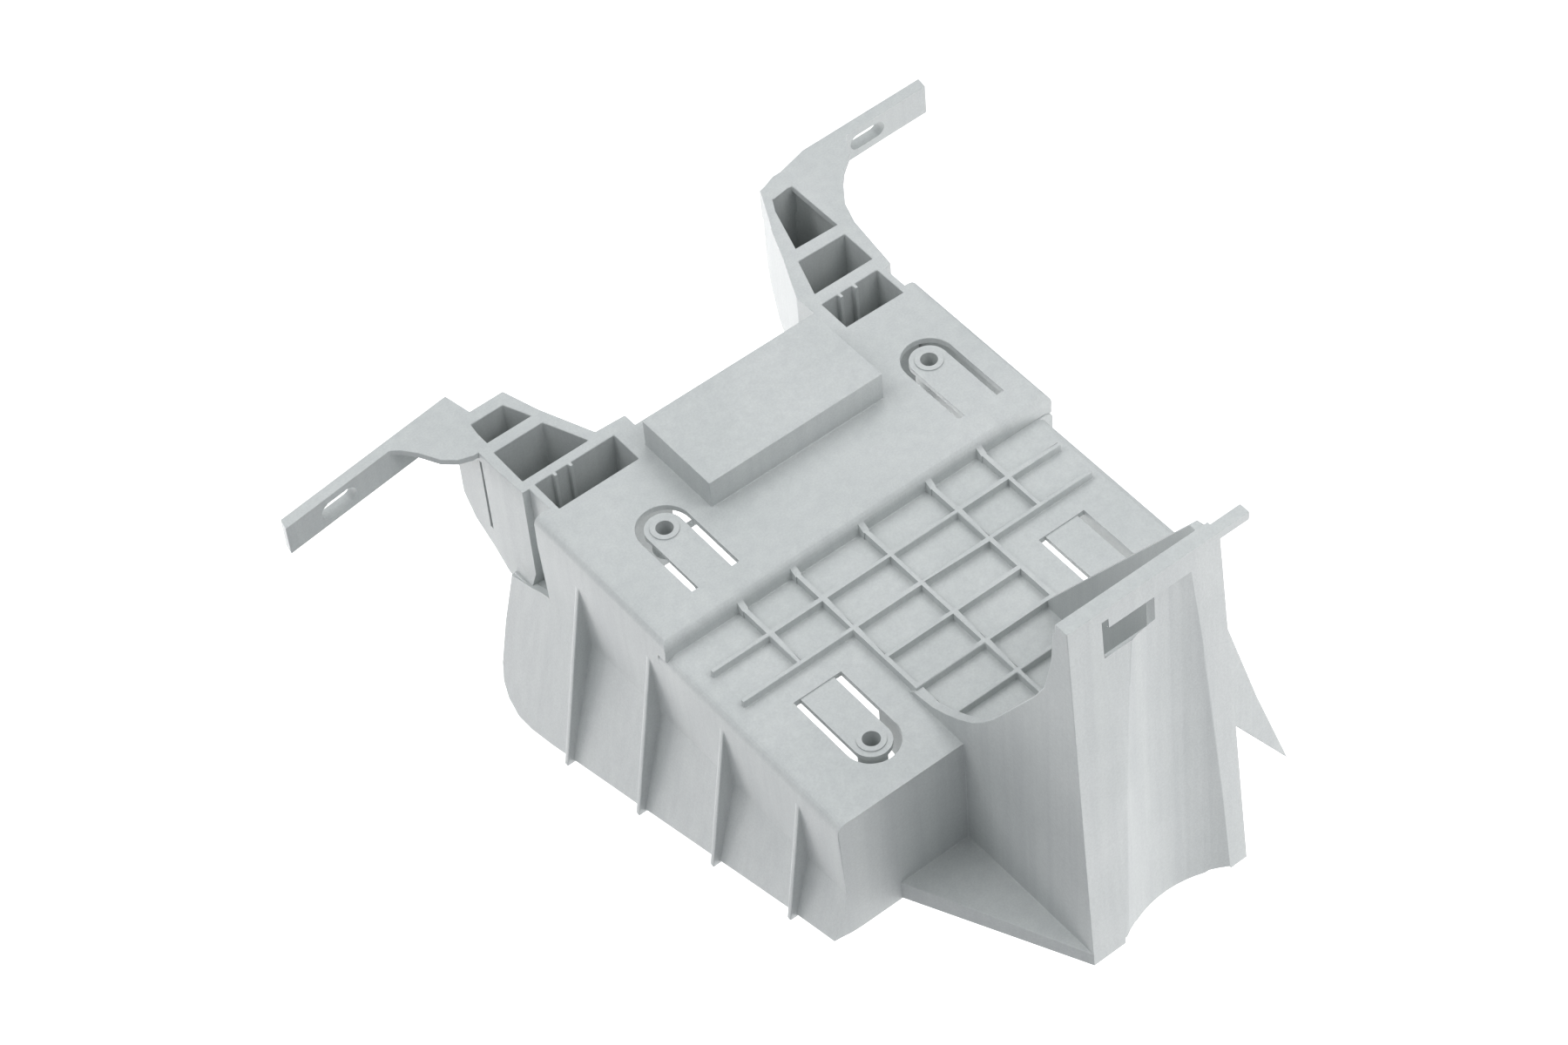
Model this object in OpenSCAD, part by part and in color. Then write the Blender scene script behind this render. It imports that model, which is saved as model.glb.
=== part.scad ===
// Sensor bracket: one moulded piece with a ribbed deck, two hollow arms with
// side plates, skirted sides and a tall front column on two webs.
// X to the right, Y to the back, Z up along the normal of the deck.
// The profiles are drawn from the top of the deck's ribs (Z = 0) and from the
// first rib line at the step (Y = 0), then the whole is moved to its datum,
// which is midway between the two fixing slots.

/* [Deck] */
// Width of the deck over its flat top
deck_w = 144; // [120:1:170]
// Front edge of the side parts of the deck, measured from the first rib line
deck_front = 81; // [70:1:95]
// Depth of the rear, upper deck, from the first rib line to its back edge
deck_back = 75.2; // [72:0.1:85]
// Height of the rear deck above the rib tops
upper_h = 4; // [2:0.5:8]
// Thickness of the moulded walls
wall = 2.4; // [1.8:0.1:4]
// Extra width of the rear deck at its right side
rear_extra = 2.2; // [0:0.1:4]
// Extra width of the front deck at its right side
front_extra = -1; // [-3:0.1:2]
// Radius of the rounded long edges of the deck
edge_r = 3.5; // [2.5:0.5:6]

/* [Rib grid] */
// Height of the ribs above the lower floor
rib_h = 3; // [2:0.5:6]
// Thickness of a rib
rib_t = 1.5; // [1:0.1:2.5]
// Spacing of the three middle lengthwise ribs
pitch_mid = 26; // [20:0.5:32]
// Spacing from an outer lengthwise rib to its neighbour
pitch_side = 20; // [15:0.5:26]
// Spacing of the crosswise ribs
pitch_cross = 14.6; // [10:0.1:20]

/* [Spring tabs] */
// Width over the outer edges of the slots
tab_w = 17.8; // [14:0.1:22]
// Length of a tab with its slots
tab_len = 34; // [26:0.5:40]
// Width of a slot
tab_slot = 2.6; // [1.6:0.1:4]
// Depth by which a tab lies below the deck around it
tab_sink = 0.5; // [0:0.1:1.2]
// Diameter of the cored hole of the locating pin
tab_hole_d = 5.6; // [3:0.1:8]
// Diameter of the locating pin under a tab
pin_d = 9; // [7:0.5:12]
// Length of the locating pin below the tab
pin_len = 7; // [3:0.5:12]

/* [Raised block] */
// Distance from the deck's middle line to the middle of the raised block
block_x = 3.2; // [0:0.1:8]
// Distance from the first rib line to the raised block
block_y = 33; // [28:0.5:38]
// Width of the raised block
block_w = 66.8; // [50:0.5:80]
// Depth of the raised block
block_d = 33.5; // [25:0.5:40]
// Height of the raised block above the rear deck
block_h = 10.9; // [6:0.5:16]

/* [Skirts] */
// Depth of the knee of the side walls below the rib tops
knee_z = 37; // [25:1:45]
// Inward draw of the side wall down to the knee
knee_in = 1.4; // [0:0.2:6]
// Outward flare of the side wall at 90 mm depth
flare = 14; // [5:1:20]
// Depth of the skirt at the front
skirt_front = 56; // [45:1:70]
// Depth of the skirt at the back
skirt_back = 92; // [80:1:110]
// Spacing of the upright fins on the skirt
fin_pitch = 35.6; // [30:0.1:42]
// Thickness of a fin
fin_t = 1.8; // [1.2:0.1:3]

/* [Front column] */
// Half width of the column
col_half = 27; // [22:0.5:34]
// Distance from the first rib line to the front of the column's foot
col_front = 137.6; // [125:0.1:150]
// Amount by which the column's front leans back over its height
col_lean = 9.2; // [4:0.1:14]
// Height of the column's top above the rib tops
col_top = 91; // [60:1:110]
// Depth of the column's foot below the rib tops
col_foot = 53; // [40:1:60]
// Width of the left post on the column's face
post_left = 12; // [8:0.5:16]
// Width of the right post on the column's face
post_right = 6; // [4:0.5:10]
// Thickness of the webs that carry the column
web_t = 3; // [2:0.1:4]
// Depth of the hollow face between the posts, at its foot
scoop = 6; // [4:0.5:8]
// Radius of the hollow face
scoop_r = 37; // [34:1:60]
// Depth of the flat recess beside the hollow face
recess = 0.8; // [0.4:0.1:1.4]
// Thickness of the column at its foot
col_thick = 9; // [8:0.5:12]
// Width of the window near the top of the column
win_w = 20; // [12:0.5:26]

/* [Arms and plates] */
// Distance between the centres of the two fixing slots
slot_span = 220; // [200:1:240]
// Length of the left plate beyond the centre of its slot
plate_over_left = 20.4; // [16:0.1:28]
// Length of the right plate beyond the centre of its slot
plate_over_right = 25.6; // [16:0.1:30]
// Distance from the first rib line to the end of the left arm
arm_left = 113.5; // [105:0.5:125]
// Distance from the first rib line to the end of the right arm
arm_right = 126; // [115:0.5:135]
// Thickness of the floors of the arms' open cells
cell_floor = 4; // [2.4:0.1:6]
// Thickness of the side plates
plate_t = 4.2; // [2.5:0.1:5]
// Height of the side plates
plate_h = 12; // [10:0.5:30]
// Width of the fixing slots in the side plates
slot_w = 6; // [4:0.1:9]
// End to end length of the fixing slots
slot_len = 14; // [8:0.5:22]

/* [Hidden] */
$fn = 48;
half = deck_w / 2;
floor_z = -rib_h;
step_y = 4;
edge_out = 1.6;
corner_r = 14;
grid_half = half - 5;
shelf_x = col_half + 26;
side_end = deck_back - 9.7;
skirt_end = side_end + 19.9;
skirt_low = skirt_end - 30.4;
tab_hole_y = tab_len - tab_w / 2;
datum = [-2, arm_left + 11, upper_h - plate_h / 2];
plate_x0 = datum[0] - slot_span / 2 - plate_over_left;
plate_x1 = datum[0] + slot_span / 2 + plate_over_right;
arm_root = side_end - 5.5;
grey = [0.76, 0.78, 0.77];

// A profile drawn in Y and Z, pulled along X from a to b
module along_x(a, b) {
    translate([a, 0, 0])
        rotate([90, 0, 90])
            linear_extrude(b - a)
                children();
}

// A profile drawn in X and Z, pulled along Y from a to b
module along_y(a, b) {
    translate([0, b, 0])
        rotate([90, 0, 0])
            linear_extrude(b - a)
                children();
}

// A profile drawn in X and Y, pulled up from a to b
module up(a, b) {
    translate([0, 0, a])
        linear_extrude(b - a)
            children();
}

// Front plane of the column, which leans back towards its top
function front_y(z) = -col_front + col_lean * (z + col_foot) / (col_foot + col_top - 1);

function side_x(z) = z > -knee_z
    ? half + edge_out - knee_in * (-z - 8) / (knee_z - 8)
    : half + edge_out - knee_in + flare * (-z - knee_z) / (90 - knee_z);

// Cross section of the body, with its top at height h and its right side
// moved out by e, drawn in by the amount t
module body_section(h, t, e) {
    r = edge_r - t / 2;
    polygon(concat(
        [for (a = [90:-15:15])
            [half + edge_out + e - t - r + r * cos(a), h - t - r + r * sin(a)]],
        [[side_x(-9) + e - t, -9 - t], [side_x(-knee_z) + e - t, -knee_z], [side_x(-130) + e - t, -130]],
        [[t - side_x(-130), -130], [t - side_x(-knee_z), -knee_z], [t - side_x(-9), -9 - t]],
        [for (a = [15:15:90])
            [t - half - edge_out + r - r * cos(a), h - t - r + r * sin(a)]]));
}

// Side view of the skirts, with its lower edge rising to the front
module side_view() {
    polygon([
        [-deck_front, 10], [-deck_front, -skirt_front], [skirt_low, 4 - skirt_back],
        [skirt_end - 19.4, 2 - skirt_back], [skirt_end - 12.4, 2 - skirt_back],
        [skirt_end - 6.4, 5 - skirt_back], [skirt_end - 2.9, 9.5 - skirt_back],
        [skirt_end - 1.1, 16 - skirt_back], [skirt_end, 32 - skirt_back], [skirt_end, -knee_z - 4],
        [side_end + 9.5, -knee_z - 1.5], [side_end + 1, -knee_z + 1.5], [side_end, -knee_z + 1.5],
        [side_end, 10]]);
}

// Plan of the front corners, drawn in by the amount t
module front_corners(t) {
    c = half - corner_r / 2 + 1;
    translate([-c, t - deck_front])
        square([2 * c, 300]);
    translate([-120, corner_r - deck_front])
        square([240, 300]);
    for (s = [-1, 1])
        translate([s * c, corner_r - deck_front])
            circle(r = corner_r - t);
}

module body_outside() {
    intersection() {
        union() {
            along_y(-deck_front, 0)
                body_section(floor_z, 0, front_extra);
            along_y(-0.5, step_y + 1)
                body_section(floor_z, 0, rear_extra);
            along_y(step_y, 100)
                body_section(upper_h, 0, rear_extra);
        }
        along_x(-120, 120)
            side_view();
        up(-130, 20)
            front_corners(0);
    }
    // Rounded step up to the rear deck
    intersection() {
        union() {
            along_x(-100, 100)
                difference() {
                    translate([0, floor_z - 1])
                        square([step_y + 1, upper_h - floor_z + 1]);
                    translate([-1, upper_h - step_y])
                        square([step_y + 1, step_y + 1]);
                }
            translate([0, step_y, upper_h - step_y])
                rotate([0, 90, 0])
                    translate([0, 0, -100])
                        cylinder(r = step_y, h = 200);
        }
        along_y(-1, step_y + 1)
            body_section(upper_h, 0, rear_extra);
        translate([-100, 0, -10])
            cube([200, 10, 20]);
    }
    // Rear ledge between the two arms
    translate([38 - half, arm_root, -22])
        cube([2 * half - 65, deck_back - arm_root, 22 + upper_h]);
}

module body_inside() {
    intersection() {
        union() {
            along_y(wall - deck_front, wall)
                body_section(floor_z, wall, front_extra);
            along_y(wall - 0.5, step_y + wall)
                body_section(floor_z, wall, rear_extra);
            along_y(step_y + wall - 0.1, side_end - wall)
                body_section(upper_h, wall, rear_extra);
            along_y(side_end, skirt_end - wall)
                body_section(upper_h, wall, rear_extra);
            along_y(skirt_end - wall - 1, 100)
                body_section(upper_h, 4 * wall, rear_extra);
            intersection() {
                along_y(arm_root, side_end + 9.5)
                    body_section(upper_h, wall, rear_extra);
                translate([-100, 0, -140])
                    cube([200, 200, 140 - knee_z - 4]);
            }
        }
        up(-140, 20)
            front_corners(wall);
    }
    // Underside of the rear ledge
    translate([38 - half + wall, side_end - wall - 1, -40])
        cube([2 * half - 65 - 2 * wall, deck_back - side_end + 1, 40 + upper_h - wall]);
}

module body_shell() {
    difference() {
        body_outside();
        body_inside();
        // The middle of the front is open between the two webs
        translate([wall - col_half, -deck_front - 5, -130])
            cube([2 * col_half - 2 * wall, 20, 130 + floor_z - wall]);
    }
}

module rib_x(y, x0, x1) {
    translate([x0, y, floor_z - 0.5])
        cube([x1 - x0, rib_t, rib_h + 0.5]);
}

module rib_y(x, y0, y1) {
    translate([x, y0, floor_z - 0.5])
        cube([rib_t, y1 - y0, rib_h + 0.5]);
}

module rib_grid() {
    b1 = -pitch_mid - pitch_side;
    b5 = pitch_mid + pitch_side;
    rib_y(b1, -2 * pitch_cross, step_y + 1);
    rib_y(-pitch_mid, -4 * pitch_cross, step_y + 1);
    rib_y(0, -deck_front - 4, step_y + 1);
    rib_y(pitch_mid, -4 * pitch_cross, step_y + 1);
    rib_y(b5, -2 * pitch_cross, step_y + 1);
    rib_x(-pitch_cross, -grid_half, grid_half);
    rib_x(-2 * pitch_cross, -grid_half, grid_half);
    rib_x(-3 * pitch_cross, -pitch_mid, pitch_mid + rib_t);
    rib_x(-4 * pitch_cross, -pitch_mid, pitch_mid + rib_t);
    rib_x(-5 * pitch_cross, -col_half + 1, col_half - 1);
    // Small rises where the lengthwise ribs meet the step
    for (x = [b1, -pitch_mid, 0, pitch_mid, b5])
        along_x(x - 0.3, x + rib_t + 0.3)
            polygon([
                [step_y, floor_z], [step_y, upper_h - 0.8], [1.4, 2.6], [-0.8, 0.9], [-2.4, 0],
                [-2.4, floor_z]]);
}

// Outline of a spring tab with its root at the origin and its free end at +Y
module tab_outline(w, l) {
    translate([-w / 2, 0])
        square([w, l - w / 2]);
    translate([0, l - w / 2])
        circle(d = w);
}

module tab_cut(top) {
    up(top - wall - 5, top + 5)
        difference() {
            tab_outline(tab_w, tab_len);
            translate([0, -1])
                tab_outline(tab_w - 2 * tab_slot, tab_len + 1 - tab_slot);
        }
    up(top - tab_sink, top + 5)
        tab_outline(tab_w, tab_len);
}

module tab_pin(top) {
    translate([0, tab_hole_y, top - wall - pin_len])
        cylinder(d = pin_d, h = pin_len + wall - tab_sink + 0.5);
}

module tab_hole(top) {
    translate([0, tab_hole_y, top - wall - pin_len + 2])
        cylinder(d = tab_hole_d, h = 30);
}

module at_tabs() {
    translate([26.2 - half, 11, 0])
        children(0);
    translate([half - 15, 11, 0])
        children(0);
    translate([26 - half, 44 - deck_front, 0])
        rotate([0, 0, 180])
            children(1);
    translate([half - 24.3, 44 - deck_front, 0])
        rotate([0, 0, 180])
            children(1);
}

module raised_block() {
    translate([block_x - block_w / 2, block_y, upper_h - 1])
        cube([block_w, block_d, block_h + 1]);
}

// Upright fins whose straight outer edges bridge the knee of the skirts
module fins() {
    for (s = [-1, 1])
        for (i = [0:3]) {
            y = side_end - 20.2 - i * fin_pitch;
            low = -skirt_front - 1.2 - (y + deck_front) * (skirt_back - 4 - skirt_front) / (skirt_low + deck_front);
            e = s < 0 ? 0 : (y > 0 ? rear_extra : front_extra);
            along_y(y - fin_t / 2, y + fin_t / 2)
                polygon([
                    [s * (half + e - 0.4), -8], [s * (half + e + 0.9), -7],
                    [s * (side_x(low) + e + 2), low], [s * (side_x(low) + e - 1.6), low],
                    [s * (side_x(-knee_z) + e - 1.6), -knee_z]]);
        }
}

// Side wall that carries the column, its upper edge swept up to the column
module web_left() {
    along_x(-col_half, web_t - col_half)
        polygon([
            [-4 * pitch_cross + 4, floor_z - 1], [-4 * pitch_cross, -1], [70.8 - col_front, 0.3],
            [64.7 - col_front, 2.9], [58.7 - col_front, 6.3], [52.6 - col_front, 10.6],
            [47.8 - col_front, 15.4], [42.5 - col_front, 22.1], [36.4 - col_front, 31.6],
            [24.6 - col_front, 49.3], [19.6 - col_front, 58.5], [16.3 - col_front, col_top - 18],
            [15.2 - col_front, col_top - 4], [front_y(col_top - 4) + 2, col_top - 4],
            [front_y(-col_foot) + 2, -col_foot], [-deck_front + 1, -skirt_front],
            [-40, -40], [-40, floor_z - 1]]);
}

module web_right() {
    along_x(col_half - web_t, col_half)
        polygon([
            [-4 * pitch_cross + 4, floor_z - 1], [-4 * pitch_cross, 0], [17.6 - col_front, col_top - 2],
            [front_y(col_top - 2) + 2, col_top - 2], [front_y(-col_foot) + 2, -col_foot],
            [-deck_front + 1, -skirt_front], [-40, -40], [-40, floor_z - 1]]);
}

// Floor between the webs, from the ribbed part to the column
module mid_floor() {
    up(floor_z - wall, floor_z)
        polygon([
            [-col_half + 1, front_y(floor_z) + 4], [col_half - 1, front_y(floor_z) + 4],
            [col_half - 1, -deck_front + 6], [-col_half + 1, -deck_front + 6]]);
}

// Three-cornered shelf beside the column's foot, with a deeper rim
module shelf() {
    up(-skirt_front + 5.6, -skirt_front + 8)
        polygon([
            [-shelf_x, -deck_front], [-shelf_x, 3 - deck_front], [1 - col_half, 3 - deck_front],
            [1 - col_half, 1.6 - col_front]]);
    up(-skirt_front + 0.6, -skirt_front + 8)
        polygon([
            [-shelf_x, -deck_front], [-shelf_x, 2 - deck_front], [2.5 - shelf_x, 2 - deck_front],
            [1 - col_half, 5 - col_front], [-col_half, -0.4 - col_front]]);
}

// Side view of the column, a wall that is thicker at its foot
module column_side() {
    polygon([
        [front_y(-col_foot) + col_thick, -col_foot], [front_y(-col_foot), -col_foot],
        [front_y(col_top - 1), col_top - 1], [front_y(col_top - 1) + 1, col_top],
        [front_y(col_top) + col_thick - 4, col_top]]);
}

// Front view of the column, whose right edge leans in to the top
module column_outline() {
    polygon([[-col_half, -60], [col_half + 5.4, -60], [col_half + 0.3, col_top + 5], [-col_half, col_top + 5]]);
}

module column() {
    scoop_w = 2 * col_half + 5 - post_left - post_right;
    scoop_x = post_left - col_half + scoop_w / 2;
    difference() {
        intersection() {
            along_x(-col_half, col_half + 8)
                column_side();
            along_y(-col_front - 12, 38 - col_front)
                column_outline();
        }
        // Shallow recess beside the left post
        along_x(post_left - col_half, scoop_x)
            polygon([
                [-col_front - 12, -60], [front_y(-60) + recess, -60],
                [front_y(col_top - 8) + recess, col_top - 8], [-col_front - 12, col_top - 8]]);
        // Hollow face, deeper towards the foot
        intersection() {
            translate([scoop_x, front_y(-col_foot) + scoop - scoop_r, -col_foot])
                rotate([-1.9, 0, 0])
                    translate([0, 0, -5])
                        cylinder(r = scoop_r, h = 200, $fn = 96);
            translate([post_left - col_half, -col_front - 60, -col_foot - 1])
                cube([scoop_w, 100, col_foot + col_top - 7]);
        }
        // Foot of the hollow face, a little above the feet of the posts
        translate([post_left - col_half, -col_front - 60, -col_foot - 1])
            cube([scoop_w, 63.6, 2]);
        // Window near the top, with a narrow notch above its left end
        translate([post_left - col_half, -col_front - 2, col_top - 20])
            cube([win_w, 30, 11.4]);
        translate([post_left - col_half, -col_front - 2, col_top - 9])
            cube([2.4, 30, 4.6]);
        // Relief from the back of the left post, so the walls stay even
        along_x(web_t - col_half, post_left - col_half - wall)
            polygon([
                [22.6 - col_front, -60], [front_y(-60) + 3, -60], [front_y(col_top - 12) + 3, col_top - 12],
                [22.6 - col_front, col_top - 12]]);
    }
    // Flange along the top, longer on the right
    translate([-col_half, front_y(col_top - 1), col_top - 3])
        cube([2 * col_half + 11.4, 4, 3]);
    // Tapered rib on the outer right side
    along_y(11.8 - col_front, 14.2 - col_front)
        polygon([
            [col_half - 1, col_top - 11], [col_half + 4.4, 50], [col_half + 9, 34], [col_half + 19, 0],
            [col_half + 32, 13 - col_foot], [col_half + 11, -7], [col_half + 2, 0]]);
}

// Side view of an arm of length l from the end of the deck's side, its
// underside raised by t
module arm_side(l, t) {
    polygon([
        [-5.5, 20], [-5.5, t - knee_z - 9], [25.5, t - knee_z - 10], [32.5, t - knee_z - 4],
        [l - 6, t - knee_z + 2], [l - 1, t - 27], [l, t - 18], [l, 20]]);
}

// Left arm, drawn from the rear left corner of the deck: its outer wall lies
// behind a groove and its inner wall slants to the back
module arm_left_box() {
    l = arm_left - side_end;
    intersection() {
        up(-60, upper_h)
            polygon([
                [4.5, -5.5], [4.5, 10.1], [2, 10.1], [1.4, 24.5], [1.8, l - 1], [6, l], [22, l],
                [26, l - 13.5], [33.6, 15.5], [44.6, 14.9], [44.6, -5.5]]);
        along_x(-10, 70)
            arm_side(l, 0);
    }
}

// Open cells of the left arm, with the slit in its outer wall
module arm_left_cells() {
    l = arm_left - side_end;
    intersection() {
        up(-60, 20) {
            polygon([[7, -2.1], [7, 10.5], [37, 10.5], [37, -2.1]]);
            polygon([[5, 14.1], [5.2, 29.3], [23.6, 29.3], [29.8, 14.1]]);
            polygon([[5.2, l - 14.2], [6.6, l - 4.7], [18.6, l - 4.7], [22.6, l - 14.2]]);
        }
        along_x(-10, 70)
            arm_side(l + 5, cell_floor);
    }
    translate([-3, 31.5, -31])
        cube([6.8, 1.2, 31]);
    // Relief from below beside the first cell
    translate([37 + wall, -1.5, -60])
        cube([7.6 - 2 * wall, 13, 60 + upper_h - wall]);
}

// Right arm, drawn from the rear right corner of the deck: it is longer and
// splayed outwards at the back
module arm_right_box() {
    l = arm_right - side_end;
    intersection() {
        up(-60, upper_h)
            polygon([
                [-29.4, -5.5], [-29.4, 18.5], [-26, 26.2], [-22.3, 34.1], [-17, l - 13.3], [-9.1, l + 2],
                [-2, l + 5], [8, l + 5], [6.4, l - 14], [5.1, 31.7], [2.2, 10.5], [-0.6, 9.5], [-0.6, -5.5]]);
        along_x(-70, 20)
            arm_side(l + 5, 0);
    }
}

module arm_right_cells() {
    l = arm_right - side_end;
    intersection() {
        up(-60, 20) {
            polygon([[-25.4, -1.7], [-25.2, 10.9], [-3, 10.9], [-3, -2.1]]);
            polygon([[-24, 15.9], [-19.1, 30.3], [-0.8, 29.9], [-1, 15.7]]);
            polygon([
                [-16.6, 34.7], [-11, l - 8], [-8, l - 3.4], [0.6, l - 2.2], [3.6, l - 6.6], [0.8, 34.9]]);
        }
        along_x(-70, 20)
            arm_side(l + 10, cell_floor);
    }
}

// Sloped ledges that join the arms to the insides of the skirts
module arm_ledges() {
    along_y(side_end + 10.1, skirt_end - 1.2)
        polygon([
            [-half + 2, -34.5], [-half - 0.7, -knee_z - 3.8], [-half + 4, -knee_z - 3.8], [-half + 4, -34.5]]);
    along_y(side_end + 10.1, skirt_end - 1.2)
        polygon([
            [half + 2.2, -34.5], [half + 2.9, -knee_z - 3.8], [half - 2, -knee_z - 3.8], [half - 2, -34.5]]);
    translate([-half - 0.6, side_end - 1.5, -knee_z - 8])
        cube([5, 20, 6]);
    translate([half - 3.6, side_end - 1.5, -knee_z - 8])
        cube([6, 20, 6]);
}

// Small upright fins on the back walls of the first cells
module cell_fins() {
    for (x = [13.5 - half, 19.4 - half, half - 19, half - 13.1])
        translate([x, side_end + 9.1, -24])
            cube([1.2, 2.4, 24 + upper_h]);
}

module fixing_slot(x) {
    for (e = [-1, 1])
        translate([x + e * (slot_len - slot_w) / 2, datum[1] + 16, datum[2]])
            rotate([90, 0, 0])
                cylinder(d = slot_w, h = 34);
    translate([x - (slot_len - slot_w) / 2, datum[1] - 18, datum[2] - slot_w / 2])
        cube([slot_len - slot_w, 34, slot_w]);
}

// Upright side plate with a fixing slot and a level corner brace
module plate_left() {
    difference() {
        up(upper_h - plate_h, upper_h)
            polygon([
                [10 - half, arm_left - 3], [7.4 - half, arm_left + 10.3], [plate_x0 + 0.8, arm_left + 2.5],
                [plate_x0, arm_left + 2.5 - plate_t], [3 - half, arm_left + 9.9 - plate_t],
                [3 - half, arm_left - 3]]);
        fixing_slot(datum[0] - slot_span / 2);
    }
    up(upper_h - wall, upper_h)
        translate([-half, arm_left])
            polygon([
                [6, -15.5], [-0.6, -15.6], [-5, -13.9], [-9, -10.3], [-12.6, -3.3], [-16, 1.1],
                [-19, 3.5], [6, 7.5]]);
}

module plate_right() {
    difference() {
        up(upper_h - plate_h, upper_h)
            polygon([
                [half - 9.6, arm_right - 1.5], [half - 9.2, arm_right + 2.4], [half + 12, arm_right + 7.7],
                [plate_x1, arm_right + 8.2], [plate_x1 - 0.6, arm_right + 8.2 - plate_t],
                [half + 10, arm_right + 7.7 - plate_t], [half + 6, arm_right - 3.5]]);
        fixing_slot(datum[0] + slot_span / 2);
    }
    up(upper_h - wall, upper_h)
        translate([half, arm_right])
            polygon([
                [0, -29], [4.8, -29.4], [8, -20], [13.4, -12.3], [17, -8.4], [23.2, -3.7], [28, 5], [0, 5]]);
}

module bracket() {
    color(grey)
        translate(-datum)
            difference() {
                union() {
                    difference() {
                        union() {
                            body_shell();
                            rib_grid();
                            mid_floor();
                            translate([-half, side_end, 0])
                                arm_left_box();
                            translate([half, side_end, 0])
                                arm_right_box();
                            arm_ledges();
                        }
                        at_tabs() {
                            tab_cut(upper_h);
                            tab_cut(floor_z);
                        }
                        translate([-half, side_end, 0])
                            arm_left_cells();
                        translate([half, side_end, 0])
                            arm_right_cells();
                    }
                    at_tabs() {
                        tab_pin(upper_h);
                        tab_pin(floor_z);
                    }
                    cell_fins();
                    raised_block();
                    fins();
                    web_left();
                    web_right();
                    shelf();
                    mirror([1, 0, 0])
                        shelf();
                    column();
                    plate_left();
                    plate_right();
                }
                at_tabs() {
                    tab_hole(upper_h);
                    tab_hole(floor_z);
                }
                // The block is hollow from below
                translate([block_x - block_w / 2 + wall, block_y + wall, -20])
                    cube([block_w - 2 * wall, block_d - 2 * wall, 20 + upper_h + block_h - wall]);
            }
}

bracket();
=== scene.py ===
# %% [markdown]
# A moulded sensor bracket
#
# One light grey moulding: a ribbed deck with spring tabs, skirted sides, two
# hollow arms with slotted side plates and a tall front column on two webs.
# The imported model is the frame. It could be modelled again by hand, but a copy
# of its solid already has every rib and slot in its place, so this script
# corrects that copy in four small places and gives it the soft edges, the
# fine texture and the light of the photograph.

# %% Load the frame
import math

import bmesh
import bpy
from mathutils import Matrix, Vector


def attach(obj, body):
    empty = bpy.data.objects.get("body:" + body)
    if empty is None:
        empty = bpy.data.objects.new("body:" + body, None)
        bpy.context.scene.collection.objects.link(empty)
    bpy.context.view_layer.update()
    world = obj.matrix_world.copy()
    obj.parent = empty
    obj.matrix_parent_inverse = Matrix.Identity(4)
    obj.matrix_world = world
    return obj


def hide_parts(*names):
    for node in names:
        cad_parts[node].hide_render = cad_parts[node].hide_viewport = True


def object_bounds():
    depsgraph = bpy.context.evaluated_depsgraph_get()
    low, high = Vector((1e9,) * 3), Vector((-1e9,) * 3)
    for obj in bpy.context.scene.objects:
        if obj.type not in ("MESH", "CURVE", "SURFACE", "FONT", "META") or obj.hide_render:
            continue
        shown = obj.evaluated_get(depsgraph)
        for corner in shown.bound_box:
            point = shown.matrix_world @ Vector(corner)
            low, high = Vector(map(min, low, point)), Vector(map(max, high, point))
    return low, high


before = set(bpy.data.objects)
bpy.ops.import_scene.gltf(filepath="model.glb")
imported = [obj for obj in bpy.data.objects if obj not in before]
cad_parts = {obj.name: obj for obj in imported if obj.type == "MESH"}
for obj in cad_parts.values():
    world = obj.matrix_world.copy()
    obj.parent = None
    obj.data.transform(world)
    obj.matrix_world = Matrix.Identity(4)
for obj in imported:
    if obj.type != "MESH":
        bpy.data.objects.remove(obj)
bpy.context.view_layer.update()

# %% [markdown]
# The camera
#
# A camera can be placed by eye or fitted to lines whose real directions are
# known. This one was fitted to the rib grid and to the upright edges of the
# raised block, so that every other edge can be compared with the photograph.
# Angles are in radians and the focal length is in pixels of the photograph.
# Places in the fit are in mm from the first rib line on the deck, and DATUM
# is where the row's own origin lies in that grid.

# %% Camera
DATUM = Vector((-2.0, 124.5, -2.0))
AZIMUTH, ELEVATION, ROLL = -0.5933995, 0.8642916, -0.0985371
FOCAL_PX, WIDTH_PX = 4978.89, 1800
SHIFT_RIGHT, SHIFT_UP, DISTANCE = 22.652, -1.691, 1300.0
SENSOR = 36.0
CLIP_NEAR, CLIP_FAR = 0.05, 20.0
MM = 0.001

back = Vector((math.sin(AZIMUTH) * math.cos(ELEVATION),
               -math.cos(AZIMUTH) * math.cos(ELEVATION),
               math.sin(ELEVATION)))
level = Vector((0, 0, 1)).cross(back).normalized()
upright = back.cross(level)
right = math.cos(ROLL) * level + math.sin(ROLL) * upright
up = math.cos(ROLL) * upright - math.sin(ROLL) * level
eye = DISTANCE * back - SHIFT_RIGHT * right - SHIFT_UP * up - DATUM

bpy.ops.object.select_all(action="DESELECT")
bpy.ops.object.camera_add()
camera = bpy.context.active_object
camera.name = "photo_camera"
axes = Matrix((right, up, back)).transposed()
camera.matrix_world = Matrix.Translation(eye * MM) @ axes.to_4x4()
camera.data.sensor_fit = "HORIZONTAL"
camera.data.sensor_width = SENSOR
camera.data.lens = SENSOR * FOCAL_PX / WIDTH_PX
camera.data.clip_start = CLIP_NEAR
camera.data.clip_end = CLIP_FAR
bpy.context.scene.camera = camera
print("camera at", [round(v, 3) for v in camera.location], "lens", round(camera.data.lens, 1))

# %% [markdown]
# Helpers for materials
#
# Colours are read off the object as they look on a screen, while Blender
# reckons in linear light, so one function turns the first into the second.
# Another adds a node with its settings and its links in one line, which keeps
# each material short enough to read as a recipe. A third fills a colour ramp.

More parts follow.
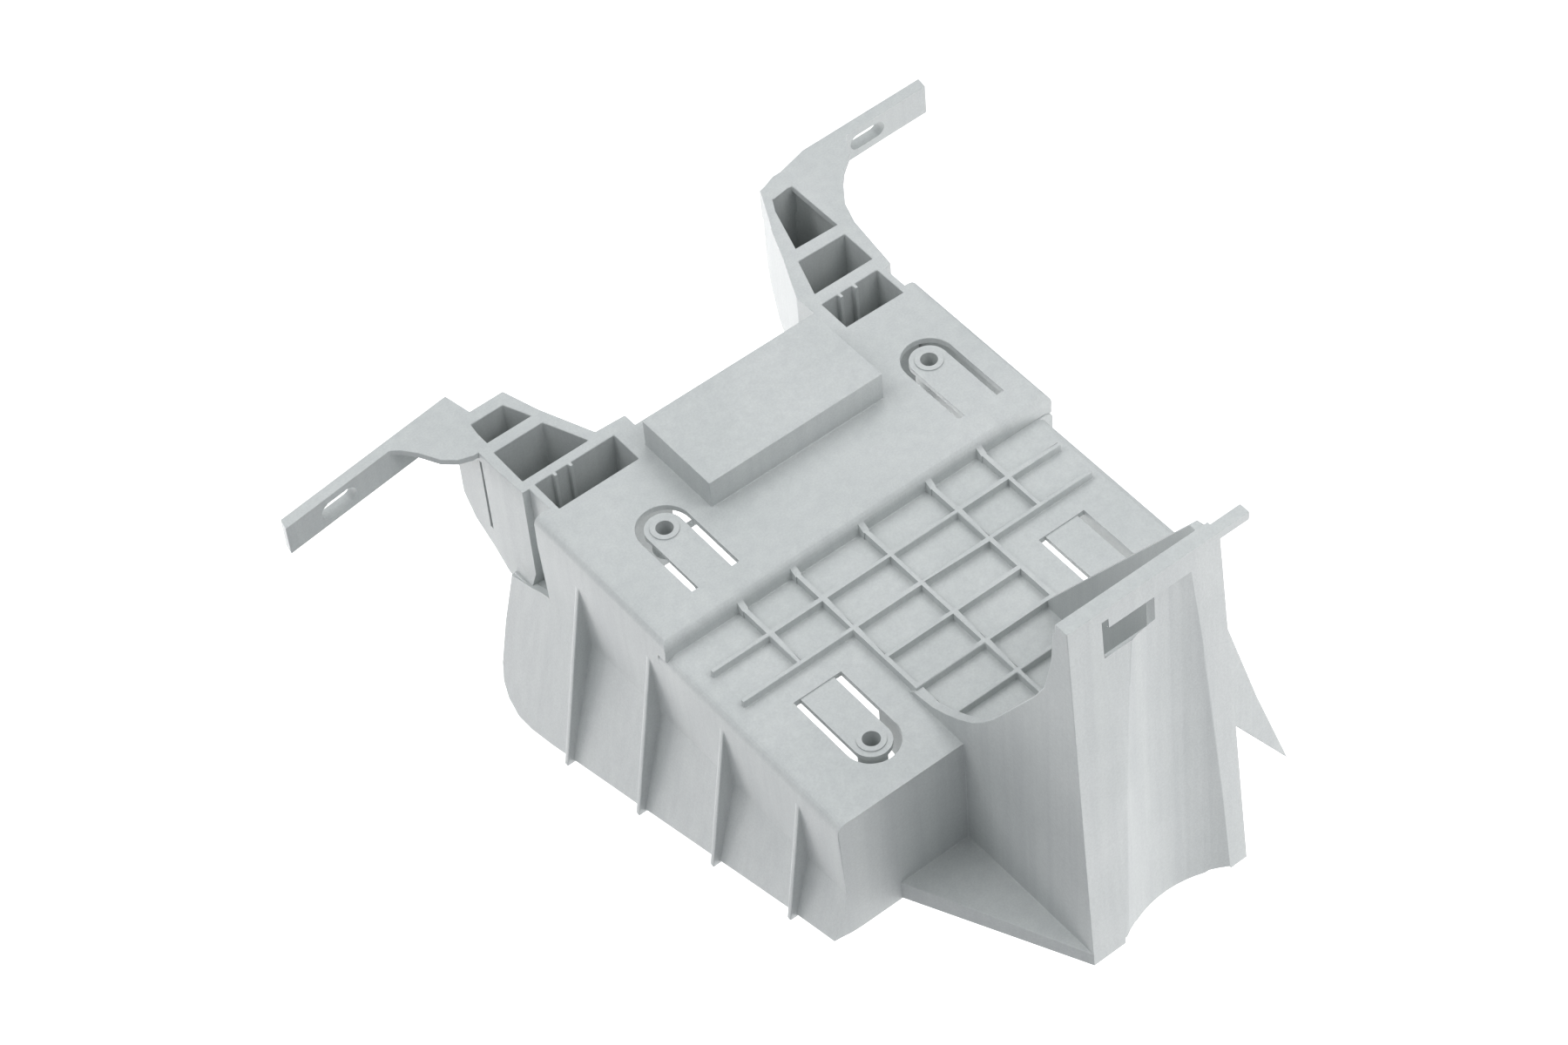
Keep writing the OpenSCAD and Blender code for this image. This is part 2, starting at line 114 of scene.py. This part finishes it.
# %% Material helpers
def screen(hex_colour, alpha=1.0):
    """A colour written as RRGGBB, in linear light."""
    parts = [int(hex_colour[i:i + 2], 16) / 255 for i in (0, 2, 4)]
    linear = [c / 12.92 if c <= 0.04045 else ((c + 0.055) / 1.055) ** 2.4 for c in parts]
    return (*linear, alpha)


def add(tree, kind, inputs=None, **settings):
    """A new node with its settings and its inputs, each a value or a socket."""
    node = tree.nodes.new(kind)
    for name, value in settings.items():
        setattr(node, name, value)
    for key, value in (inputs or {}).items():
        if isinstance(value, bpy.types.NodeSocket):
            tree.links.new(value, node.inputs[key])
        else:
            node.inputs[key].default_value = value
    return node


def ramp(tree, source, stops):
    """A colour ramp fed by source, with stops of (place, colour)."""
    node = add(tree, "ShaderNodeValToRGB", {0: source})
    elements = node.color_ramp.elements
    while len(elements) < len(stops):
        elements.new(0.5)
    for element, (place, colour) in zip(elements, stops):
        element.position = place
        element.color = colour
    return node.outputs["Color"]


print("helpers ready")

# %% [markdown]
# The moulded plastic
#
# The real part is one matt, light grey moulding of a plastic such as ABS, with
# a spark-eroded surface. That gives the eye a slightly cloudy tone, faint
# streaks on the upright walls, where they slid out of the mould, and a fine
# grain. A picture of the surface would do it too, but three noises need no
# file and stay sharp at any distance. They use object coordinates, so they
# keep their size everywhere, and the streaks are one noise drawn out along Z.
#
# The numbers are per metre: a cloud is about 45 mm wide, a streak 4 mm and a
# grain 0.7 mm. Real streaks and grain are several times finer. They are drawn
# as coarse as they need to be to show in the picture.

# %% Plastic tones
CLOUDS, STREAKS, GRAINS = 22.0, 260.0, 1500.0
ALONG_Z = (1.0, 1.0, 0.03)
FRACTAL = 0.6
CLOUD_FROM, CLOUD_TO = 0.3, 0.7
FINE_FROM, FINE_TO = 0.35, 0.65
FULL = 1.0

plastic = bpy.data.materials.new("moulded_abs_grey")
plastic.use_nodes = True
tree = plastic.node_tree
tree.nodes.clear()
place = add(tree, "ShaderNodeTexCoord").outputs["Object"]
drawn = add(tree, "ShaderNodeMapping", {"Vector": place, "Scale": ALONG_Z}).outputs[0]
cloud = add(tree, "ShaderNodeTexNoise", {"Vector": place, "Scale": CLOUDS, "Detail": 5.0,
                                         "Roughness": FRACTAL}).outputs["Fac"]
streak = add(tree, "ShaderNodeTexNoise", {"Vector": drawn, "Scale": STREAKS, "Detail": 3.0,
                                          "Roughness": FRACTAL}).outputs["Fac"]
grain = add(tree, "ShaderNodeTexNoise", {"Vector": place, "Scale": GRAINS, "Detail": 2.0,
                                         "Roughness": FRACTAL}).outputs["Fac"]
tone = ramp(tree, cloud, [(CLOUD_FROM, screen("BDC2C1")), (CLOUD_TO, screen("C8CCCB"))])
lines = ramp(tree, streak, [(FINE_FROM, screen("F8F8F9")), (FINE_TO, screen("FFFFFF"))])
speck = ramp(tree, grain, [(FINE_FROM, screen("F6F6F6")), (FINE_TO, screen("FFFFFF"))])
# Sockets 6 and 7 of a Mix node take its two colours, and its output 2 gives the result
lined = add(tree, "ShaderNodeMix", {0: FULL, 6: tone, 7: lines},
            data_type="RGBA", blend_type="MULTIPLY").outputs[2]
base = add(tree, "ShaderNodeMix", {0: FULL, 6: lined, 7: speck},
           data_type="RGBA", blend_type="MULTIPLY").outputs[2]
print("tones ready,", len(tree.nodes), "nodes")

# %% [markdown]
# The plastic's surface
#
# A matt moulding throws light back softly, and its clouds are a little duller
# or glossier than the rest. One roughness for the whole part would look like
# paint, so the roughness follows the clouds. The streaks and the grain also
# raise the surface a little. Both are far too shallow to model, so they are
# bumps in the material.

# %% Plastic surface
GLOSSIEST, DULLEST = 0.5, 0.62
STREAK_HEIGHT, GRAIN_HEIGHT = 0.0002, 0.0003
PLASTIC_IOR = 1.5

rough = add(tree, "ShaderNodeMapRange",
            {0: cloud, 1: CLOUD_FROM, 2: CLOUD_TO, 3: GLOSSIEST, 4: DULLEST}).outputs[0]
walls = add(tree, "ShaderNodeBump", {"Strength": 0.25, "Distance": STREAK_HEIGHT, "Height": streak})
bump = add(tree, "ShaderNodeBump", {"Strength": 0.14, "Distance": GRAIN_HEIGHT, "Height": grain,
                                    "Normal": walls.outputs[0]})
shader = add(tree, "ShaderNodeBsdfPrincipled", {"Base Color": base, "Roughness": rough,
                                                "Normal": bump.outputs[0], "IOR": PLASTIC_IOR})
add(tree, "ShaderNodeOutputMaterial", {"Surface": shader.outputs[0]})
print("plastic ready,", len(tree.nodes), "nodes")

# %% [markdown]
# The moulding itself
#
# The bracket is one piece, so one object stands for it. Its solid comes as
# loose triangles. They are copied and their shared points are merged, because
# only faces that share points can be bevelled or shaded together.

# %% Copy of the solid
MERGE = 2e-5

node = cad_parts["bracket"]
bpy.ops.object.select_all(action="DESELECT")
mesh = node.data.copy()
piece = bpy.data.objects.new("bracket_moulding", mesh)
bpy.context.scene.collection.objects.link(piece)
mesh.transform(node.matrix_world)
work = bmesh.new()
work.from_mesh(mesh)
bmesh.ops.remove_doubles(work, verts=work.verts, dist=MERGE)
print("copied", len(work.verts), "points")

# %% [markdown]
# Three corrections by moving points
#
# Seen from the camera, the solid differs from the photograph in a few small
# places. The deck's front corners are nearly sharp on the real part, so a
# fifth of their rounding is left. The tips of the shelves beside the column
# end level with its foot, and the window's lower edge slopes down to the back.
# Cutting and joining new faces would do it, but moving the points that are
# there keeps the mesh as it is. No surface ends up more than 3.7 mm from the
# solid's, and all of it stays inside the solid's box. Numbers are in mm.

# %% Small corrections
NEAR = 0.1
CORNER_X, CORNER_Y, CORNER_R = 66.0, -67.0, 14.0
WALL_FRONT, WALL_BACK, HALF_WALL = -81.0, -78.6, 1.2
LEFT_OVER = 0.2
SKIRT_LOW, SKIRT_SLOPE = -55.9, 0.235
TIP_X, TIP_AHEAD = 27.0, 0.3
FOOT_Y, FOOT_Z, LEAN = -137.6, -53.0, 9.2 / 143
SILL_LEFT, SILL_RIGHT, SILL_BACK, SILL_Z = -15.0, 5.0, -124.5, 71.0
SILL_DROP = Vector((0, 0, 6))


def drawn_out(point):
    """The front corner with a fifth of its rounding left."""
    reach = math.hypot(abs(point.x) - CORNER_X, point.y - CORNER_Y)
    flat = WALL_FRONT if reach > CORNER_R - HALF_WALL else WALL_BACK
    shift = (point.y - flat) * (1 - LEFT_OVER)
    rise = SKIRT_SLOPE * shift if point.z < SKIRT_LOW else 0.0
    return Vector((point.x, point.y - shift, point.z + rise))


def flush(point):
    """The tip of a shelf, level with the foot of the column."""
    z = max(point.z, FOOT_Z - NEAR)
    return Vector((point.x, FOOT_Y + LEAN * (z - FOOT_Z), z))


def on_sill(point):
    """Whether a point lies on the back of the window's lower edge."""
    across = SILL_LEFT - NEAR < point.x < SILL_RIGHT + NEAR
    return across and abs(point.z - SILL_Z) < NEAR and point.y > SILL_BACK


moved = 0
for vert in work.verts:
    point = vert.co / MM + DATUM
    target = point
    if abs(point.x) > CORNER_X and WALL_FRONT - NEAR < point.y < CORNER_Y:
        target = drawn_out(point)
    elif abs(abs(point.x) - TIP_X) < NEAR and point.y < FOOT_Y - TIP_AHEAD:
        target = flush(point)
    elif on_sill(point):
        target = point - SILL_DROP
    if target is not point:
        vert.co = (target - DATUM) * MM
        moved += 1
print("moved", moved, "points")

# %% [markdown]
# End of the floor behind the hollow face
#
# On the real column nothing shows in the hollow face, but in the solid the
# floor between the webs ends a little proud of it and draws a dark crack.
# Sinking the floor's end would leave faces inside one another, so its faces
# are taken out here and the hole that they leave is closed with new ones.

# %% Floor's end taken out
FLOOR_END_LOW, FLOOR_END_HIGH = Vector((-2, -130.5, -5.5)), Vector((12.5, -129.8, -2.9))


def in_box(vert):
    """Whether a point lies where the floor's end meets the hollow face."""
    point = vert.co / MM + DATUM
    return all(FLOOR_END_LOW[k] < point[k] < FLOOR_END_HIGH[k] for k in range(3))


proud = [face for face in work.faces if all(in_box(vert) for vert in face.verts)]
bmesh.ops.delete(work, geom=proud, context="FACES")
rim = [edge for edge in work.edges if edge.is_boundary]
patch = bmesh.ops.holes_fill(work, edges=rim)["faces"]
bmesh.ops.triangulate(work, faces=patch)
print("closed", len(rim), "edges after taking", len(proud), "faces")

# %% [markdown]
# Soft edges
#
# A real moulding has no knife edges: the mould's own edges are a few tenths
# of a millimetre round, and they catch the light. A bevel modifier makes such
# rounds on the edges that carry a weight, and its width stays one number.
# Its own limit shrinks every round as soon as one edge is too short, so that
# limit is off, and the script gives no weight where a round has no room.
#
# An edge is hard when its faces bend by more than 35 degrees, or when it is
# a shallow crease between two large faces, such as the knee of the skirts.

# %% Edges and shading
KNIT, DEGENERATE, FLAT = 1.5e-4, 1e-5, math.radians(1.0)
SHARP, CREASE = math.radians(35), math.radians(5)
LARGE = 60e-6
ROUND = 0.0004
SHARE_OF_ROOM = 0.45

bmesh.ops.remove_doubles(work, verts=work.verts, dist=KNIT)
bmesh.ops.dissolve_degenerate(work, dist=DEGENERATE, edges=work.edges)
bmesh.ops.dissolve_limit(work, angle_limit=FLAT, verts=work.verts, edges=work.edges)


def is_hard(edge):
    """Whether an edge is sharp, or a crease between two large faces."""
    bend = edge.calc_face_angle(0.0)
    return bend > SHARP or (bend > CREASE and all(f.calc_area() > LARGE for f in edge.link_faces))


def room_at(vert, hard):
    """The largest round at a point that keeps clear of its neighbours."""
    room = ROUND
    for loop in vert.link_loops:
        before, after, angle = loop.link_loop_prev.edge, loop.edge, loop.calc_angle()
        if before in hard and after in hard:
            reach = min(before.calc_length(), after.calc_length()) * math.tan(angle / 2)
        elif before in hard:
            reach = after.calc_length() * math.sin(angle)
        elif after in hard:
            reach = before.calc_length() * math.sin(angle)
        else:
            continue
        room = min(room, SHARE_OF_ROOM * reach)
    return room


def width_of(face):
    """The width of a strip with the face's area and outline."""
    return 2 * face.calc_area() / face.calc_perimeter()


softened = work.edges.layers.float.new("bevel_weight_edge")
hard = {edge for edge in work.edges if is_hard(edge)}
rooms = {vert: room_at(vert, hard) for vert in work.verts}
for edge in hard:
    tight = any(rooms[vert] < ROUND for vert in edge.verts)
    thin = any(width_of(face) < 2 * ROUND for face in edge.link_faces)
    edge[softened] = 0.0 if tight or thin else 1.0
    edge.smooth = not (tight or thin)
bevel = piece.modifiers.new("soft_edges", "BEVEL")
bevel.width = ROUND
bevel.segments = 2
bevel.limit_method = "WEIGHT"
bevel.use_clamp_overlap = False
mesh.materials.clear()
mesh.materials.append(plastic)
print("hard edges", len(hard), "of", len(work.edges))

# %% [markdown]
# Places left sharp
#
# Where several edges meet in a cramped corner, a round can still fold a face
# over, and a folded face renders black. Such corners could be found by eye
# and mended one by one. Here the script looks at the bevelled result itself,
# finds the triangles that face the wrong way, takes the weight from the edges
# beside them and tries again until none over 0.02 square mm is left.

# %% Places left sharp
TRIES = 8
SMALLEST = 2e-8
AGREEMENT = 0.3
BESIDE = 0.0012


def turned_over():
    """Corners of the bevelled copy's triangles that face the wrong way."""
    bpy.context.view_layer.update()
    shown = piece.evaluated_get(bpy.context.evaluated_depsgraph_get())
    trial = shown.to_mesh()
    trial.calc_loop_triangles()
    spots = []
    for triangle in trial.loop_triangles:
        leading = trial.polygons[triangle.polygon_index].normal
        if triangle.area > SMALLEST and triangle.normal.dot(leading) < AGREEMENT:
            spots += [trial.vertices[index].co.copy() for index in triangle.vertices]
    shown.to_mesh_clear()
    return spots


for attempt in range(TRIES):
    for face in work.faces:
        face.smooth = True
    work.to_mesh(mesh)
    spots = turned_over()
    if not spots:
        break
    for edge in hard:
        if any((vert.co - spot).length < BESIDE for vert in edge.verts for spot in spots):
            edge[softened] = 0.0
            edge.smooth = False
total = sum(edge.calc_length() for edge in hard)
soft = sum(edge.calc_length() for edge in hard if edge[softened])
print("rounds", attempt, "softened", round(soft / total, 2), "of the edges")
work.free()

# %% [markdown]
# Normals
#
# The real walls are flat right up to their rounds. Smooth shading alone would
# spread each round's gradient over the wall beside it. So the bevelled shape
# is made a mesh of its own, its sharp edges are marked, and a modifier lets
# the large faces lead the normals, which keeps them flat in the light.

# %% Normals and names
shown = piece.evaluated_get(bpy.context.evaluated_depsgraph_get())
piece.data = bpy.data.meshes.new_from_object(shown)
piece.modifiers.remove(bevel)
final = bmesh.new()
final.from_mesh(piece.data)
for edge in final.edges:
    if edge.calc_face_angle(0.0) > SHARP:
        edge.smooth = False
final.to_mesh(piece.data)
final.free()
weights = piece.modifiers.new("flat_faces_lead", "WEIGHTED_NORMAL")
weights.keep_sharp = True
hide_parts("bracket")
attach(piece, "root")
print("moulding", len(piece.data.polygons), "faces")

# %% [markdown]
# Floor and background
#
# The photograph is cut out on white, and white also shows through the slots
# beside the tabs. The bracket is held by its two fixing slots, so the floor is
# a plain pale sheet some way below it. More light would make it white too, but
# it would bleach the bracket. So the floor glows a little for the camera
# alone, and the shadow stays.

# %% Floor
FLOOR_SIZE, FLOOR_GAP = 9, 0.7
GLOW = 0.62

bracket_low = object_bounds()[0][2]
bpy.ops.object.select_all(action="DESELECT")
bpy.ops.mesh.primitive_plane_add(size=FLOOR_SIZE, location=(0, 0, bracket_low - FLOOR_GAP))
floor = bpy.context.active_object
floor.name = "pale_floor"
pale = bpy.data.materials.new("pale_floor")
pale.use_nodes = True
sheet = pale.node_tree
sheet.nodes.clear()
matt = add(sheet, "ShaderNodeBsdfDiffuse", {"Color": screen("F2F2F2")})
glow = add(sheet, "ShaderNodeEmission", {"Color": screen("FFFFFF"), "Strength": GLOW})
seen = add(sheet, "ShaderNodeLightPath").outputs["Is Camera Ray"]
unlit = add(sheet, "ShaderNodeEmission", {"Color": screen("000000"), "Strength": 0.0})
extra = add(sheet, "ShaderNodeMixShader", {0: seen, 1: unlit.outputs[0], 2: glow.outputs[0]})
both = add(sheet, "ShaderNodeAddShader", {0: matt.outputs[0], 1: extra.outputs[0]})
add(sheet, "ShaderNodeOutputMaterial", {"Surface": both.outputs[0]})
floor.data.materials.append(pale)
print("floor at", round(floor.location.z, 3), "m")

# %% [markdown]
# Light
#
# In the photograph the faces that look up and the outer walls are bright, and
# the faces that only see the deck are darker. One lamp would leave hard black
# shadows that the photograph lacks. So three wide soft boxes hang above, and
# two smaller ones stand below the level of the deck, at the back left and at
# the front right. Their powers, in watts, were matched to the tones of the
# main faces. The world adds a faint cool light, and the camera alone sees it
# as plain white.

# %% Lights
AMBIENT = 0.43
PLAIN_WHITE = 1.0


def soft_box(name, place, target, power, size, colour="FFFFFF"):
    """A square area light that looks at target and isn't seen itself."""
    bpy.ops.object.light_add(type="AREA", location=place)
    lamp = bpy.context.active_object
    lamp.name = name
    lamp.data.energy = power
    lamp.data.size = size
    lamp.data.color = screen(colour)[:3]
    lamp.visible_camera = False
    lamp.rotation_euler = (Vector(target) - Vector(place)).to_track_quat("-Z", "Y").to_euler()


middle = (0.0, -0.14, 0.0)
soft_box("over_left", (-0.8, 0.3, 1.5), middle, 12, 1.2)
soft_box("over_front", (0.5, -1.0, 1.4), middle, 11, 1.2)
soft_box("over_right", (0.9, 0.7, 1.4), middle, 8, 1.2)
soft_box("low_back", (-0.55, 1.0, -0.5), middle, 18.5, 0.9, "FFFCFC")
soft_box("low_front", (0.7, -1.1, -0.3), middle, 8.4, 0.6, "FFFCFC")

world = bpy.data.worlds.new("studio")
bpy.context.scene.world = world
world.use_nodes = True
sky = world.node_tree
sky.nodes.clear()
rays = add(sky, "ShaderNodeLightPath")
white = add(sky, "ShaderNodeBackground", {"Color": screen("FFFFFF"), "Strength": PLAIN_WHITE})
ambient = add(sky, "ShaderNodeBackground", {"Color": screen("F2F4F9"), "Strength": AMBIENT})
choice = add(sky, "ShaderNodeMixShader", {0: rays.outputs["Is Camera Ray"],
                                          1: ambient.outputs[0], 2: white.outputs[0]})
add(sky, "ShaderNodeOutputWorld", {"Surface": choice.outputs[0]})
bpy.context.scene.view_settings.view_transform = "Standard"
print("lights and world ready")
